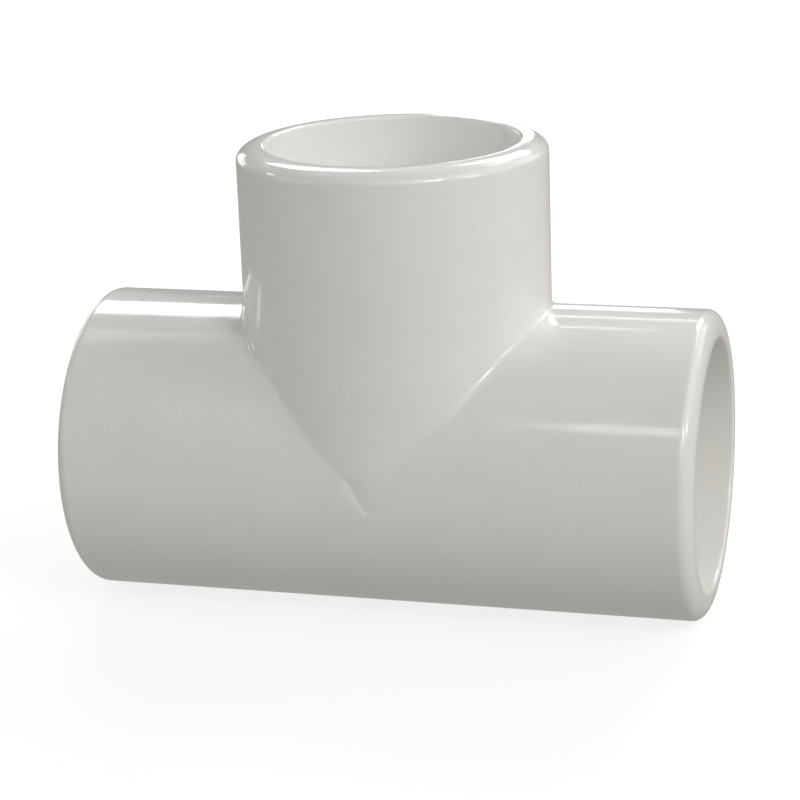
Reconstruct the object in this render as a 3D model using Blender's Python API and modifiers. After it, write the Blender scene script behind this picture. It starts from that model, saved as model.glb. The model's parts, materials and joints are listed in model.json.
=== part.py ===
"""PVC slip tee: a straight run with a branch at right angles, and a pipe socket at each end.

The tee is one injection-moulded body. It lies on its run with the branch upright: +X is along the run,
+Z is up the branch, and the origin is on the floor below the crossing of the two axes. Metres.
"""

import math

import bpy

# Driving dimensions: 1 inch nominal pipe, outside diameter 33.4 mm
HUB_RADIUS = 0.02065            # outside of the run and of the branch, 1 5/8 in across
END_REACH = 0.04286             # crossing of the axes to the face of each socket, 1 11/16 in
SOCKET_DEPTH = 0.0254           # face to the shoulder that stops the pipe
MOUTH_RADIUS = 0.01683          # socket at its face, 1.325 in across
SEAT_RADIUS = 0.01664           # socket at the shoulder, 1.310 in across
WATERWAY_RADIUS = 0.0150        # passages between the three shoulders
RIM_ROUND = 0.0019              # rounding of each socket's outer edge
LEAD_IN = 0.0005                # rounding of each socket's inner edge
SADDLE_FILLET = 0.0006          # blend where the branch meets the run
GATE_RADIUS = 0.0024            # moulding gate's scar, a shallow round dish in the side
GATE_DEPTH = 0.00035

SEGMENTS = 64                   # facets round each turned shape, a multiple of 4 so that the seams meet
RIM_STEPS = 5                   # chords along the rim's rounding
LEAD_IN_STEPS = 2               # chords along the mouth's rounding
FILLET_STEPS = 2                # chords across the saddle's blend
GATE_SEGMENTS = 16              # facets round the gate's scar
CUT_CLEARANCE = 0.002           # how far a cutter runs past the face that it opens
WELD_DISTANCE = 0.00001
BLEND_FROM = math.radians(20)   # the seam is blended where its sides meet more sharply than this
SHARP_FROM = math.radians(28)   # edges more acute than this are shaded as corners

WHITE_PVC = (0.74, 0.73, 0.71, 1.0)
PVC_ROUGHNESS = 0.32

AXIS_HEIGHT = HUB_RADIUS        # the run's axis above the floor


def arc(centre_radius, centre_height, radius, start, end, steps):
    """Points of an arc in the plane of a turned profile, as (distance from the axis, height)."""
    angles = [start + (end - start) * step / steps for step in range(steps + 1)]
    return [
        (centre_radius + radius * math.cos(a), centre_height + radius * math.sin(a))
        for a in angles
    ]


def mirrored(profile):
    """The same profile turned upside down, in the order that carries on from the upper half."""
    return [(radius, -height) for radius, height in reversed(profile)]


def outer_end():
    """The outside of one socket, from the middle of its face over the rounded rim."""
    corner = (HUB_RADIUS - RIM_ROUND, END_REACH - RIM_ROUND)
    return [(0.0, END_REACH)] + arc(*corner, RIM_ROUND, math.pi / 2, 0.0, RIM_STEPS)


def socket_bore():
    """The inside of one socket, from past its face down to the foot of the shoulder."""
    opening = MOUTH_RADIUS + LEAD_IN
    seat_height = END_REACH - SOCKET_DEPTH
    lead_in = arc(opening, END_REACH - LEAD_IN, LEAD_IN, math.pi / 2, math.pi, LEAD_IN_STEPS)
    outside = [(0.0, END_REACH + CUT_CLEARANCE), (opening, END_REACH + CUT_CLEARANCE)]
    return outside + lead_in + [(SEAT_RADIUS, seat_height), (WATERWAY_RADIUS, seat_height)]


def turned(name, profile, collection):
    """A solid of revolution about the object's own Z axis, from a profile listed top to bottom."""
    mesh = bpy.data.meshes.new(name)
    edges = [(index, index + 1) for index in range(len(profile) - 1)]
    mesh.from_pydata([(radius, 0.0, height) for radius, height in profile], edges, [])
    solid = bpy.data.objects.new(name, mesh)
    collection.objects.link(solid)
    screw = solid.modifiers.new("turn", "SCREW")
    screw.axis = "Z"
    screw.angle = 2 * math.pi
    screw.steps = SEGMENTS
    screw.render_steps = SEGMENTS
    screw.use_merge_vertices = True
    screw.merge_threshold = WELD_DISTANCE
    solid.location.z = AXIS_HEIGHT
    return solid


def lay_along_run(solid):
    """Turns a solid of revolution so that its axis lies along +X."""
    solid.rotation_euler = (0.0, math.pi / 2, 0.0)


def as_cutter(solid):
    solid.hide_render = True
    solid.display_type = "WIRE"


def boolean(body, operand, operation):
    step = body.modifiers.new(f"{operation.lower()} {operand.name}", "BOOLEAN")
    step.operation = operation
    step.solver = "EXACT"
    step.object = operand


def weld(body):
    """Merges the doubled points that a Boolean leaves where two edges cross."""
    step = body.modifiers.new("weld", "WELD")
    step.merge_threshold = WELD_DISTANCE


def blend_saddle(body):
    """Rounds the seam between the run and the branch, which is the only sharp edge at this stage."""
    step = body.modifiers.new("saddle blend", "BEVEL")
    step.limit_method = "ANGLE"
    step.angle_limit = BLEND_FROM
    step.width = SADDLE_FILLET
    step.segments = FILLET_STEPS


def gate_dish(collection):
    """The ball whose shallow cap is taken out of the side of the run, at the point of the saddle."""
    ball_radius = (GATE_RADIUS ** 2 + GATE_DEPTH ** 2) / (2 * GATE_DEPTH)
    bpy.ops.mesh.primitive_uv_sphere_add(
        segments=GATE_SEGMENTS, ring_count=GATE_SEGMENTS * 3 // 2, radius=ball_radius,
        location=(0.0, GATE_DEPTH - HUB_RADIUS - ball_radius, AXIS_HEIGHT),
        rotation=(math.pi / 2, 0.0, 0.0))
    ball = bpy.context.active_object
    ball.name = "gate_dish"
    for holder in ball.users_collection:
        holder.objects.unlink(ball)
    collection.objects.link(ball)
    return ball


def pvc():
    material = bpy.data.materials.new("white_pvc")
    material.use_nodes = True
    shader = material.node_tree.nodes["Principled BSDF"]
    shader.inputs["Base Color"].default_value = WHITE_PVC
    shader.inputs["Roughness"].default_value = PVC_ROUGHNESS
    shader.inputs["Metallic"].default_value = 0.0
    material.diffuse_color = WHITE_PVC
    return material


def settle_modifiers(body):
    """Keeps the finished shape as the body's own mesh, and shades it smooth between its real corners."""
    view_layer = bpy.context.view_layer
    view_layer.update()
    finished = body.evaluated_get(bpy.context.evaluated_depsgraph_get())
    body.data = bpy.data.meshes.new_from_object(finished)
    body.modifiers.clear()
    body.data.name = body.name
    body.data.shade_smooth()
    body.data.set_sharp_from_angle(angle=SHARP_FROM)


def make_tee(parts, cutters):
    end = outer_end()
    body = turned("tee_body", end + mirrored(end), parts)
    lay_along_run(body)

    branch = turned("branch_outside", end + [(HUB_RADIUS, 0.0), (0.0, 0.0)], cutters)

    bore_end = socket_bore()
    run_bore = turned("run_bore", bore_end + mirrored(bore_end), cutters)
    lay_along_run(run_bore)
    branch_bore = turned("branch_bore", bore_end + [(WATERWAY_RADIUS, 0.0), (0.0, 0.0)], cutters)

    dish = gate_dish(cutters)
    for helper in (branch, run_bore, branch_bore, dish):
        as_cutter(helper)

    boolean(body, branch, "UNION")
    weld(body)
    blend_saddle(body)
    boolean(body, run_bore, "DIFFERENCE")
    boolean(body, branch_bore, "DIFFERENCE")
    boolean(body, dish, "DIFFERENCE")
    weld(body)
    settle_modifiers(body)
    body.data.materials.clear()
    body.data.materials.append(pvc())


def main():
    for old in list(bpy.data.objects):
        bpy.data.objects.remove(old)
    scene = bpy.context.scene
    parts = bpy.data.collections.new("pvc_tee_fitting")
    cutters = bpy.data.collections.new("cutters")
    scene.collection.children.link(parts)
    scene.collection.children.link(cutters)
    make_tee(parts, cutters)


main()
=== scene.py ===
"""PVC slip tee: the moulded skin, its material, the studio and the camera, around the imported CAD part."""

import json
import math

import bmesh
import bpy
import numpy as np
from mathutils import Matrix, Vector


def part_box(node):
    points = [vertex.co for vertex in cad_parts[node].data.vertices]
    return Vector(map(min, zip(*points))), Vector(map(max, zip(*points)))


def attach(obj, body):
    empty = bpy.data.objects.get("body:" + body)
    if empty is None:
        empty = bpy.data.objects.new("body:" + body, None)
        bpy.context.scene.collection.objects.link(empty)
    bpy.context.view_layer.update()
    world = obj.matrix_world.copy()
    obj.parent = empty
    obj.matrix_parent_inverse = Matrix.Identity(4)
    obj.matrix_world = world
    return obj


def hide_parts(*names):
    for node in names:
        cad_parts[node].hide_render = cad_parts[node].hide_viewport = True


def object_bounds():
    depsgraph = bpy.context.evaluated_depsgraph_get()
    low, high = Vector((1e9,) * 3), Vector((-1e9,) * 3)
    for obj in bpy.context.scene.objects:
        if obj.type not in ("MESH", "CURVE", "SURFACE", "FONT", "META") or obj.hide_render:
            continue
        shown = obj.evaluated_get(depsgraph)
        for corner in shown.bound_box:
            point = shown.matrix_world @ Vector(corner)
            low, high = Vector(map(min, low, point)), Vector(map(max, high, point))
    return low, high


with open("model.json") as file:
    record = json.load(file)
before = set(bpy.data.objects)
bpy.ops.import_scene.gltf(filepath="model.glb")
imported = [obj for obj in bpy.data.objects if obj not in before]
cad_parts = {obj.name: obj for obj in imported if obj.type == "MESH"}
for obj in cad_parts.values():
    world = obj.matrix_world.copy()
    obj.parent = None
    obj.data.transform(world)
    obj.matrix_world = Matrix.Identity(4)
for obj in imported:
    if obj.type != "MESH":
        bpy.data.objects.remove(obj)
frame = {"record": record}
cad_low, cad_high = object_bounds()

# The frame: everything below is worked out from the node's box and the record's mounts
NODE = "tee_body"
BODY = "root"
low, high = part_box(NODE)
mounts = {mount["name"]: Vector(mount["pos_m"]) for mount in frame["record"]["mounts"]}
HUB_RADIUS = (high.y - low.y) / 2
AXIS_HEIGHT = low.z + HUB_RADIUS
REACH = high.x
SEAT = mounts["run_right_seat"].x

# The wall's section, in metres
MM = 0.001
MOUTH_RADIUS = 16.83 * MM
SEAT_RADIUS = 16.64 * MM
WATERWAY_RADIUS = 15.0 * MM
RIM_ROUND = 1.9 * MM      # outer rounding, along the arm
RIM_CROWN = 2.9 * MM      # the same rounding, across the wall
LEAD_IN = 0.45 * MM
STOP_CORNER = 0.4 * MM
STOP_EDGE = 0.3 * MM
SADDLE_BLEND = 0.4 * MM   # where the two arms meet squarely, at the sides
POINT_BLEND = 4.0 * MM    # where they run into each other, at the front and the back
BLEND_POWER = 1.5
CROSSING_EDGE = 0.3 * MM

# Mesh density
FINE = 0.2 * MM          # spacing round the gate's scar
FINE_REACH = 3.4 * MM
COARSE = 1.5 * MM
COARSE_ANGLE = math.radians(1.7)
BLEND_STEPS = 7
BORE_STEPS = 7
SOCKET_POINTS = 14
RIM_STEPS = 14
GROWTH = 1.25            # each coarser step against the one before
SUPPORT = 0.08 * MM      # loops that keep a flat wall's shading clear of the rounding beside it


def graded(length, fine, fine_reach, coarse):
    """Distances from 0 to length, fine at the start and growing evenly to the coarse spacing."""
    steps, at, step = [0.0], 0.0, fine
    while at < length:
        if at > fine_reach:
            step = min(step * GROWTH, coarse)
        at += step
        steps.append(at)
    return [value * length / at for value in steps]


def arc(centre, radius, start, end, steps):
    """Points of an arc as (distance from the arm's axis, distance along the arm)."""
    angles = np.linspace(math.radians(start), math.radians(end), steps + 1)
    return [(centre[0] + radius * math.cos(a), centre[1] + radius * math.sin(a)) for a in angles]


def rim_and_socket():
    """The wall's section between the two long walls: rim, lead-in, socket, stop shoulder."""
    round_foot = REACH - RIM_ROUND
    lead_foot = REACH - LEAD_IN
    section = [(HUB_RADIUS, round_foot - SUPPORT)]
    for radius, depth in arc((0, 0), 1, 0, 90, RIM_STEPS):
        section.append((HUB_RADIUS - RIM_CROWN * (1 - radius), round_foot + RIM_ROUND * depth))
    section.append((MOUTH_RADIUS + LEAD_IN + SUPPORT, REACH))
    section += arc((MOUTH_RADIUS + LEAD_IN, lead_foot), LEAD_IN, 90, 180, 5)
    corner = (SEAT_RADIUS - STOP_CORNER, SEAT + STOP_CORNER)
    depths = np.linspace(lead_foot - SUPPORT, corner[1] + SUPPORT, SOCKET_POINTS)
    taper = (MOUTH_RADIUS - SEAT_RADIUS) / (lead_foot - SEAT)
    section += [(SEAT_RADIUS + (depth - SEAT) * taper, depth) for depth in depths]
    section += arc(corner, STOP_CORNER, 0, -90, 4)
    edge = (WATERWAY_RADIUS + STOP_EDGE, SEAT - STOP_EDGE)
    section += arc(edge, STOP_EDGE, 90, 180, 4)
    return section


class Skin:
    """Vertices and faces of the skin; points at one place share one vertex."""

    def __init__(self):
        self.points, self.faces, self.index = [], [], {}

    def vertex(self, point):
        key = tuple(round(value / (0.0005 * MM)) for value in point)
        if key not in self.index:
            self.index[key] = len(self.points)
            self.points.append(tuple(point))
        return self.index[key]

    def grid(self, rows):
        """Faces between neighbouring rows of points; a side with no length drops out."""
        rows = [[self.vertex(point) for point in row] for row in rows]
        for row, following in zip(rows, rows[1:]):
            for a, b, c, d in zip(row, row[1:], following[1:], following):
                corners = list(dict.fromkeys((a, b, c, d)))
                if len(corners) > 2:
                    self.faces.append(corners)


def along_run(angle, radius, distance):
    """A point of the right arm; the angle is from the front, towards the branch."""
    return (distance, -radius * math.cos(angle), radius * math.sin(angle))


def up_branch(angle, radius, distance):
    """A point of the branch; the angle is from the front, towards the right arm."""
    return (radius * math.sin(angle), -radius * math.cos(angle), distance)


def arm_line(place, angle, outer_start, inner_start, section, spacing):
    """One line of an arm's surface: out along the outside, over the rim, back down the bore."""
    outer_end, inner_end = section[0][1], section[-1][1]
    outside = [(HUB_RADIUS, outer_start + (outer_end - outer_start) * t) for t in spacing[:-1]]
    inner_steps = np.linspace(0, 1, BORE_STEPS + 1)[1:]
    inside = [(WATERWAY_RADIUS, inner_end + (inner_start - inner_end) * t) for t in inner_steps]
    return [place(angle, radius, distance) for radius, distance in outside + section + inside]


def saddle_blend(angle):
    """The blend's radius: small at the sides and wider towards the saddle's points."""
    from_side = abs(math.pi / 2 - angle) / (math.pi / 2)
    return SADDLE_BLEND + (POINT_BLEND - SADDLE_BLEND) * from_side ** BLEND_POWER


def saddle_line(angle, radius, blend):
    """One arc of the saddle: the path of a ball that rolls along both cylinders."""
    reach = radius + blend
    centre = Vector((reach * math.sin(angle), -reach * math.cos(angle), reach * math.sin(angle)))
    to_run = Vector((0, math.cos(angle), -math.sin(angle)))
    to_branch = Vector((-math.sin(angle), math.cos(angle), 0))
    line = []
    for step in range(BLEND_STEPS + 1):
        direction = to_run.lerp(to_branch, step / BLEND_STEPS) if to_run.angle(to_branch) < 1e-6 \
            else to_run.slerp(to_branch, step / BLEND_STEPS)
        line.append(tuple(centre + blend * direction))
    return line


def half_skin():
    """The half of the tee with x above 0, centred on the crossing of the axes."""
    skin = Skin()
    section = rim_and_socket()
    arcs = graded(math.pi * HUB_RADIUS, FINE, FINE_REACH, COARSE_ANGLE * HUB_RADIUS)
    angles = [value / HUB_RADIUS for value in arcs]
    lengths = graded(section[0][1], FINE, FINE_REACH, COARSE)
    spacing = [value / lengths[-1] for value in lengths]
    inner = WATERWAY_RADIUS + CROSSING_EDGE
    seams = [(a, (HUB_RADIUS + saddle_blend(a)) * math.sin(a), inner * math.sin(a)) for a in angles]
    skin.grid([arm_line(along_run, a, s, t, section, spacing) for a, s, t in seams])
    skin.grid([arm_line(up_branch, a, s, t, section, spacing) for a, s, t in seams])
    skin.grid([arm_line(along_run, -a, 0.0, 0.0, section, spacing) for a in angles])
    skin.grid([saddle_line(a, HUB_RADIUS, saddle_blend(a)) for a in angles])
    skin.grid([saddle_line(a, WATERWAY_RADIUS, CROSSING_EDGE) for a in angles])
    return skin


def whole_skin():
    half = half_skin()
    whole = Skin()
    for side in (1, -1):
        renumber = [whole.vertex((side * x, y, z)) for x, y, z in half.points]
        whole.faces += [[renumber[i] for i in face] for face in half.faces]
    return whole


# The gate's scar, in mm from the point of the saddle. Its deepest line is a straight corner: on the
# left the surface curves down to it over a wedge, and on the right it rises slowly.
GATE_DEPTH = 0.34
GATE_CORNER = (-1.74, 1.74)          # the corner line passes here
GATE_ACROSS = (0.876, 0.482)         # direction square to the line, towards the slow side
GATE_START, GATE_WIDEST, GATE_TIP = -0.8, 1.0, 4.8      # along the line, downwards
GATE_STEEP_WIDTH, GATE_STEEP_LEAST, GATE_STEEP_POWER = 2.6, 0.3, 2.2
GATE_SLOW_WIDTH, GATE_SLOW_POWER = 3.2, 1.5
GATE_SIDE = -0.9                     # the scar is looked for beyond this share of the hub's radius


def gate_depth(x, z):
    """Depth of the scar at a point of the front."""
    x, z = x / MM - GATE_CORNER[0], z / MM - GATE_CORNER[1]
    across = x * GATE_ACROSS[0] + z * GATE_ACROSS[1]
    along = x * GATE_ACROSS[1] - z * GATE_ACROSS[0]
    before = (along - GATE_START) / (GATE_WIDEST - GATE_START)
    after = (GATE_TIP - along) / (GATE_TIP - GATE_WIDEST)
    share = min(1.0, max(0.0, min(before, after)))
    if across < 0:
        width = max(GATE_STEEP_WIDTH * share, GATE_STEEP_LEAST)
        depth = max(0.0, 1 + across / width) ** GATE_STEEP_POWER
    else:
        depth = max(0.0, 1 - across / GATE_SLOW_WIDTH) ** GATE_SLOW_POWER
    return GATE_DEPTH * math.sqrt(share) * depth * MM


def make_skin():
    skin = whole_skin()
    points = []
    for x, y, z in skin.points:
        if y < GATE_SIDE * HUB_RADIUS:
            y += gate_depth(x, z)
        points.append((x, y, z + AXIS_HEIGHT))
    mesh = bpy.data.meshes.new("tee_skin")
    mesh.from_pydata(points, [], skin.faces)
    shape = bmesh.new()
    shape.from_mesh(mesh)
    bmesh.ops.recalc_face_normals(shape, faces=shape.faces)
    shape.to_mesh(mesh)
    shape.free()
    mesh.shade_smooth()
    skin_object = bpy.data.objects.new("tee_skin", mesh)
    bpy.context.scene.collection.objects.link(skin_object)
    return skin_object


# The PVC: colours, roughness from the glossiest to the dullest spot, relief in mm, the sizes of its
# noises, and how strongly each kind of mark tints the colour
PVC_LIGHT = (0.898, 0.894, 0.876, 1)
PVC_SHADE = (0.868, 0.860, 0.836, 1)
PVC_STREAK = (0.80, 0.79, 0.76, 1)
PVC_SCUFF = (0.66, 0.65, 0.62, 1)
PVC_DIRT = (0.35, 0.32, 0.27, 1)
PVC_GLOSS = (0.085, 0.14)
PEEL_HEIGHT = 0.012
GRAIN_HEIGHT = 0.0008
SCUFF_DEPTH = 0.0004
RIDGE_HEIGHT = 0.02
CLOUD_SIZE, GRAIN_SIZE, PEEL_SIZE, GLOSS_SIZE = 9 * MM, 0.45 * MM, 3.5 * MM, 5 * MM
STREAK_TINT, SCUFF_TINT, WEAR_TINT, DIRT_TINT = 0.1, 0.14, 0.06, 0.4
WEAR_REACH, WEAR_FULL = 2.2 * MM, 0.4 * MM
DULLED = 0.05            # roughness that a scuff or wear adds


class Nodes:
    """Short calls for building a shader's node tree."""

    def __init__(self, material):
        self.tree = material.node_tree

    def add(self, kind, **settings):
        node = self.tree.nodes.new(kind)
        for name, value in settings.items():
            setattr(node, name, value)
        return node

    def feed(self, socket, value):
        if isinstance(value, bpy.types.NodeSocket):
            self.tree.links.new(value, socket)
        else:
            socket.default_value = value

    def math(self, operation, *values, clamp=False):
        node = self.add("ShaderNodeMath", operation=operation, use_clamp=clamp)
        for socket, value in zip(node.inputs, values):
            self.feed(socket, value)
        return node.outputs[0]

    def ramp(self, value, start, end, to_start=0.0, to_end=1.0):
        """A smooth step from one value to another."""
        node = self.add("ShaderNodeMapRange", interpolation_type="SMOOTHSTEP")
        for socket, entry in zip(node.inputs, (value, start, end, to_start, to_end)):
            self.feed(socket, entry)
        return node.outputs[0]

    def noise(self, place, size, detail=2.0, roughness=0.5):
        """Noise with features of about the given size in metres, from 0 to 1."""
        node = self.add("ShaderNodeTexNoise")
        self.feed(node.inputs["Vector"], place)
        self.feed(node.inputs["Scale"], 1 / size)
        self.feed(node.inputs["Detail"], detail)
        self.feed(node.inputs["Roughness"], roughness)
        return node.outputs["Fac"]

    def mix(self, factor, first, second):
        node = self.add("ShaderNodeMix", data_type="RGBA")
        self.feed(node.inputs[0], factor)
        self.feed(node.inputs[6], first)
        self.feed(node.inputs[7], second)
        return node.outputs[2]


def flow_streaks(nodes, across, height, depth):
    """Faint streaks that fan out from the gate over the front, 1 in the middle of a streak."""
    from_gate = nodes.math("SUBTRACT", height, AXIS_HEIGHT)
    fan = nodes.math("ARCTAN2", across, from_gate)
    distance = nodes.math("SQRT", nodes.math("ADD", nodes.math("POWER", across, 2.0),
                                             nodes.math("POWER", from_gate, 2.0)))
    spot = nodes.add("ShaderNodeCombineXYZ")
    nodes.feed(spot.inputs[0], nodes.math("MULTIPLY", fan, 0.02))
    nodes.feed(spot.inputs[1], nodes.math("MULTIPLY", distance, 0.12))
    streaks = nodes.ramp(nodes.noise(spot.outputs[0], 1.1 * MM, 1.0), 0.5, 0.75)
    near = nodes.ramp(distance, 3 * MM, 30 * MM, 1.0, 0.0)
    front = nodes.ramp(depth, -8 * MM, -15 * MM)
    return nodes.math("MULTIPLY", nodes.math("MULTIPLY", streaks, near), front)


def specks(nodes, place, cell, radius, share):
    """Small spots, one in some of the cells, 1 inside a spot."""
    spots = nodes.add("ShaderNodeTexVoronoi")
    nodes.feed(spots.inputs["Vector"], place)
    nodes.feed(spots.inputs["Scale"], 1 / cell)
    inside = nodes.ramp(spots.outputs["Distance"], radius / cell, 0.4 * radius / cell)
    pick = nodes.add("ShaderNodeSeparateColor")
    nodes.feed(pick.inputs[0], spots.outputs["Color"])
    chosen = nodes.math("LESS_THAN", pick.outputs[0], share)
    return nodes.math("MULTIPLY", inside, chosen)


def hairline_scuffs(nodes, place, turn, patch_share):
    """Short curved hairlines in scattered patches, 1 on a line."""
    mapping = nodes.add("ShaderNodeMapping")
    nodes.feed(mapping.inputs["Vector"], place)
    mapping.inputs["Rotation"].default_value = turn
    mapping.inputs["Scale"].default_value = (1.0, 0.12, 1.0)
    lines = nodes.add("ShaderNodeTexNoise")
    nodes.feed(lines.inputs["Vector"], mapping.outputs[0])
    nodes.feed(lines.inputs["Scale"], 1 / (1.6 * MM))
    nodes.feed(lines.inputs["Detail"], 1.0)
    nodes.feed(lines.inputs["Distortion"], 0.7)
    off_line = nodes.math("ABSOLUTE", nodes.math("SUBTRACT", lines.outputs["Fac"], 0.5))
    line = nodes.ramp(off_line, 0.012, 0.004)
    patches = nodes.ramp(nodes.noise(place, 9 * MM, 1.0), 1 - patch_share, 1 - patch_share + 0.06)
    return nodes.math("MULTIPLY", line, patches)


def rim_wear(nodes, across, height, place):
    """Handling wear on the rounded edges of the three rims, 1 where it is strongest."""
    reach = nodes.math("ABSOLUTE", across)
    run_end = nodes.ramp(reach, REACH - WEAR_REACH, REACH - WEAR_FULL)
    branch_end = nodes.ramp(height, high.z - WEAR_REACH, high.z - WEAR_FULL)
    ends = nodes.math("MAXIMUM", run_end, branch_end)
    patches = nodes.ramp(nodes.noise(place, 2.2 * MM, 3.0, 0.65), 0.5, 0.68)
    return nodes.math("MULTIPLY", ends, patches)


def parting_line(nodes, depth, place):
    """The faint line where the mould's halves met, in the plane of the two axes."""
    wander = nodes.math("MULTIPLY", nodes.math("SUBTRACT", nodes.noise(place, 12 * MM), 0.5), 0.15 * MM)
    off_line = nodes.math("ABSOLUTE", nodes.math("ADD", depth, wander))
    line = nodes.ramp(off_line, 0.16 * MM, 0.03 * MM)
    strength = nodes.ramp(nodes.noise(place, 7 * MM, 2.0), 0.35, 0.6, 0.25, 1.0)
    return nodes.math("MULTIPLY", line, strength)


def pvc_material():
    """White moulded PVC: warm white with a fine mottle, a glossy skin and light handling marks."""
    material = bpy.data.materials.new("white_pvc")
    material.use_nodes = True
    nodes = Nodes(material)
    shader = material.node_tree.nodes["Principled BSDF"]
    shader.inputs["IOR"].default_value = 1.53
    place = nodes.add("ShaderNodeTexCoord").outputs["Object"]
    parts = nodes.add("ShaderNodeSeparateXYZ")
    nodes.feed(parts.inputs[0], place)
    across, depth, height = parts.outputs

    clouds = nodes.noise(place, CLOUD_SIZE, 3.0, 0.55)
    grain = nodes.noise(place, GRAIN_SIZE, 2.0, 0.6)
    marks = hairline_scuffs(nodes, place, (0.4, 0.3, 0.9), 0.43)
    cross_marks = hairline_scuffs(nodes, place, (1.3, -0.5, 0.2), 0.4)
    scuffs = nodes.math("MAXIMUM", marks, cross_marks)
    wear = rim_wear(nodes, across, height, place)
    seam = parting_line(nodes, depth, place)
    streaks = flow_streaks(nodes, across, height, depth)
    dirt = specks(nodes, place, 6 * MM, 0.13 * MM, 0.3)

    mottle = nodes.math("ADD", nodes.math("MULTIPLY", clouds, 0.6), nodes.math("MULTIPLY", grain, 0.4))
    colour = nodes.mix(nodes.ramp(mottle, 0.3, 0.7), PVC_SHADE, PVC_LIGHT)
    colour = nodes.mix(nodes.math("MULTIPLY", streaks, STREAK_TINT), colour, PVC_STREAK)
    colour = nodes.mix(nodes.math("MULTIPLY", scuffs, SCUFF_TINT), colour, PVC_SCUFF)
    colour = nodes.mix(nodes.math("MULTIPLY", wear, WEAR_TINT), colour, PVC_SCUFF)
    colour = nodes.mix(nodes.math("MULTIPLY", dirt, DIRT_TINT), colour, PVC_DIRT)
    nodes.feed(shader.inputs["Base Color"], colour)

    gloss = nodes.ramp(nodes.noise(place, GLOSS_SIZE, 3.0, 0.6), 0.3, 0.7, *PVC_GLOSS)
    dulled = nodes.math("ADD", nodes.math("MULTIPLY", scuffs, DULLED), nodes.math("MULTIPLY", wear, DULLED))
    nodes.feed(shader.inputs["Roughness"], nodes.math("ADD", gloss, dulled))

    peel = nodes.math("MULTIPLY", nodes.noise(place, PEEL_SIZE, 1.0), PEEL_HEIGHT)
    fine = nodes.math("MULTIPLY", grain, GRAIN_HEIGHT)
    cuts = nodes.math("MULTIPLY", scuffs, -SCUFF_DEPTH)
    ridge = nodes.math("MULTIPLY", seam, RIDGE_HEIGHT)
    relief = nodes.math("ADD", nodes.math("ADD", peel, fine), nodes.math("ADD", cuts, ridge))
    bump = nodes.add("ShaderNodeBump")
    bump.inputs["Distance"].default_value = MM
    nodes.feed(bump.inputs["Height"], relief)
    nodes.feed(shader.inputs["Normal"], bump.outputs["Normal"])
    return material


# The studio, in metres
SWEEP_MIDDLE = 0.02      # radius of the floor's middle face
SWEEP_FLAT = 1.8         # radius of the flat floor, before it curves up into the wall
SWEEP_CURVE = 0.9
SWEEP_TOP = 3.2
SWEEP_GREY, SWEEP_GLOW = 0.35, 0.74
LIGHT_DISTANCE = 1.2


def make_sweep():
    """A pale floor that curves up into a wall all round. It shows behind the tee and takes its
    shadow, and the light it would throw back comes from the world's lower half instead."""
    turns = np.linspace(0, math.pi / 2, 13)[1:]
    profile = [(SWEEP_MIDDLE, 0.0), (0.3, 0.0), (SWEEP_FLAT, 0.0)]
    profile += [
        (SWEEP_FLAT + SWEEP_CURVE * math.sin(a), SWEEP_CURVE * (1 - math.cos(a))) for a in turns
    ]
    profile.append((SWEEP_FLAT + SWEEP_CURVE, SWEEP_TOP))
    shape = bmesh.new()
    line = [shape.verts.new((radius, 0, height)) for radius, height in profile]
    edges = [shape.edges.new(pair) for pair in zip(line, line[1:])]
    bmesh.ops.spin(shape, geom=line + edges, axis=(0, 0, 1), cent=(0, 0, 0),
                   angle=2 * math.pi, steps=96, use_merge=True)
    middle = [edge for edge in shape.edges if all(v.co.xy.length < 2 * SWEEP_MIDDLE for v in edge.verts)]
    bmesh.ops.edgeloop_fill(shape, edges=middle)
    bmesh.ops.recalc_face_normals(shape, faces=shape.faces)
    mesh = bpy.data.meshes.new("studio_sweep")
    shape.to_mesh(mesh)
    shape.free()
    mesh.shade_smooth()
    sweep = bpy.data.objects.new("studio_sweep", mesh)
    sweep.location.z = cad_low[2]
    bpy.context.scene.collection.objects.link(sweep)
    material = bpy.data.materials.new("studio_sweep")
    material.use_nodes = True
    shader = material.node_tree.nodes["Principled BSDF"]
    shader.inputs["Base Color"].default_value = (SWEEP_GREY, SWEEP_GREY, SWEEP_GREY, 1)
    shader.inputs["Roughness"].default_value = 1.0
    shader.inputs["Specular IOR Level"].default_value = 0.0
    shader.inputs["Emission Color"].default_value = (1, 1, 1, 1)
    shader.inputs["Emission Strength"].default_value = SWEEP_GLOW
    mesh.materials.append(material)
    sweep.visible_diffuse = False
    sweep.visible_glossy = False
    sweep.visible_shadow = False


WARM, PALE, COOL = (1.0, 0.98, 0.945), (1.0, 0.995, 0.98), (0.96, 0.98, 1.0)
WORLD_COLOUR = (1.0, 0.98, 0.92, 1)
WORLD_FADE = (-0.25, 0.15, 0.39, 0.03)   # the direction's lowest and highest z, and the strength at each

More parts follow.
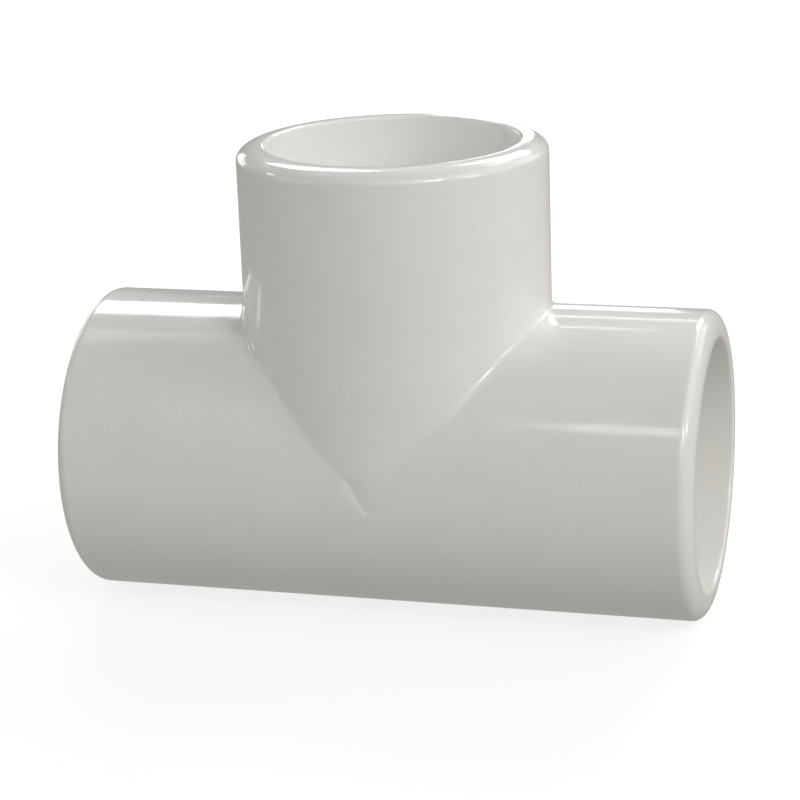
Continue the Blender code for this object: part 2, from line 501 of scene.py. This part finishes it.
# name, azimuth from the front towards +X, elevation, width and height in metres, power, colour
LIGHTS = (
    ("key_front", 22, 34, (0.9, 0.9), 3.0, PALE),
    ("key_middle", 57, 36, (1.0, 0.9), 2.2, WARM),
    ("key_side", 95, 36, (0.9, 0.9), 3.2, PALE),
    ("lamp_near", 47, 32, (0.26, 0.2), 2.0, WARM),
    ("lamp_far", 75, 24, (0.2, 0.16), 1.0, WARM),
    ("lamp_left", 270, 25, (0.16, 0.12), 0.6, WARM),
    ("fill_left", 305, 14, (0.9, 0.6), 1.5, PALE),
    ("fill_left_back", 262, 20, (1.4, 1.0), 1.9, PALE),
    ("fill_right_back", 140, 25, (0.6, 0.5), 1.5, WARM),
    ("window_left", 210.5, 41, (0.36, 0.35), 2.9, COOL),
    ("window_overhead", 252, 62, (0.3, 0.2), 0.25, COOL),
    ("window_left_low", 225, 9, (0.46, 0.34), 1.2, PALE),
    ("window_right", 172, 37, (0.40, 0.38), 4.2, COOL),
    ("window_right_high", 148, 48, (0.4, 0.25), 0.9, PALE),
    ("horizon", 191, 9, (0.15, 0.25), 0.3, COOL),
    ("tube", 190.5, 31.5, (0.22, 0.02), 0.12, PALE),
    ("tube_high", 196, 48, (0.12, 0.03), 0.06, PALE),
    ("tube_front", 349, 40.5, (0.09, 0.13), 0.16, WARM),
)


def area_light(name, azimuth, elevation, size, power, colour):
    """A soft box facing the tee. The azimuth is from the front, towards +X, in degrees."""
    az, el = math.radians(azimuth), math.radians(elevation)
    toward = Vector((math.sin(az) * math.cos(el), -math.cos(az) * math.cos(el), math.sin(el)))
    data = bpy.data.lights.new(name, "AREA")
    data.shape = "RECTANGLE"
    data.size, data.size_y = size
    data.energy = power
    data.color = colour
    light = bpy.data.objects.new(name, data)
    light.location = Vector((0, 0, AXIS_HEIGHT)) + toward * LIGHT_DISTANCE
    light.rotation_euler = toward.to_track_quat("Z", "Y").to_euler()
    light.visible_camera = False
    bpy.context.scene.collection.objects.link(light)


def make_world():
    """Light from below as a pale floor gives it, fading out just above the horizon."""
    world = bpy.data.worlds.new("studio")
    world.use_nodes = True
    tree = world.node_tree
    background = tree.nodes["Background"]
    background.inputs["Color"].default_value = WORLD_COLOUR
    place = tree.nodes.new("ShaderNodeTexCoord")
    parts = tree.nodes.new("ShaderNodeSeparateXYZ")
    fade = tree.nodes.new("ShaderNodeMapRange")
    tree.links.new(place.outputs["Generated"], parts.inputs[0])
    tree.links.new(parts.outputs["Z"], fade.inputs["Value"])
    for socket, value in zip(fade.inputs[1:5], WORLD_FADE):
        socket.default_value = value
    tree.links.new(fade.outputs[0], background.inputs["Strength"])
    bpy.context.scene.world = world


# The viewing angle, and distances in outside diameters
VIEW_AZIMUTH, VIEW_ELEVATION, VIEW_ROLL = 16.03, 17.11, -2.07
VIEW_DISTANCE = 8.228
VIEW_CENTRE = (-0.0045, 0.1689)
VIEW_LENS = 112.6


def make_camera():
    az, el, roll = (math.radians(v) for v in (VIEW_AZIMUTH, VIEW_ELEVATION, VIEW_ROLL))
    back = Vector((math.sin(az) * math.cos(el), -math.cos(az) * math.cos(el), math.sin(el)))
    level = Vector((math.cos(az), math.sin(az), 0))
    up = back.cross(level)
    right = math.cos(roll) * level + math.sin(roll) * up
    over = back.cross(right)
    diameter = 2 * HUB_RADIUS
    centre = Vector((VIEW_CENTRE[0] * diameter, 0, AXIS_HEIGHT + VIEW_CENTRE[1] * diameter))
    data = bpy.data.cameras.new("camera")
    data.lens = VIEW_LENS
    data.clip_start = 0.01
    camera = bpy.data.objects.new("camera", data)
    bpy.context.scene.collection.objects.link(camera)
    turn = Matrix((right, over, back)).transposed().to_4x4()
    camera.matrix_world = Matrix.Translation(centre + back * VIEW_DISTANCE * diameter) @ turn
    bpy.context.scene.camera = camera


skin = make_skin()
skin.data.materials.append(pvc_material())
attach(skin, BODY)
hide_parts(NODE)
make_sweep()
make_world()
for light in LIGHTS:
    area_light(*light)
make_camera()
bpy.context.scene.view_settings.view_transform = "Standard"
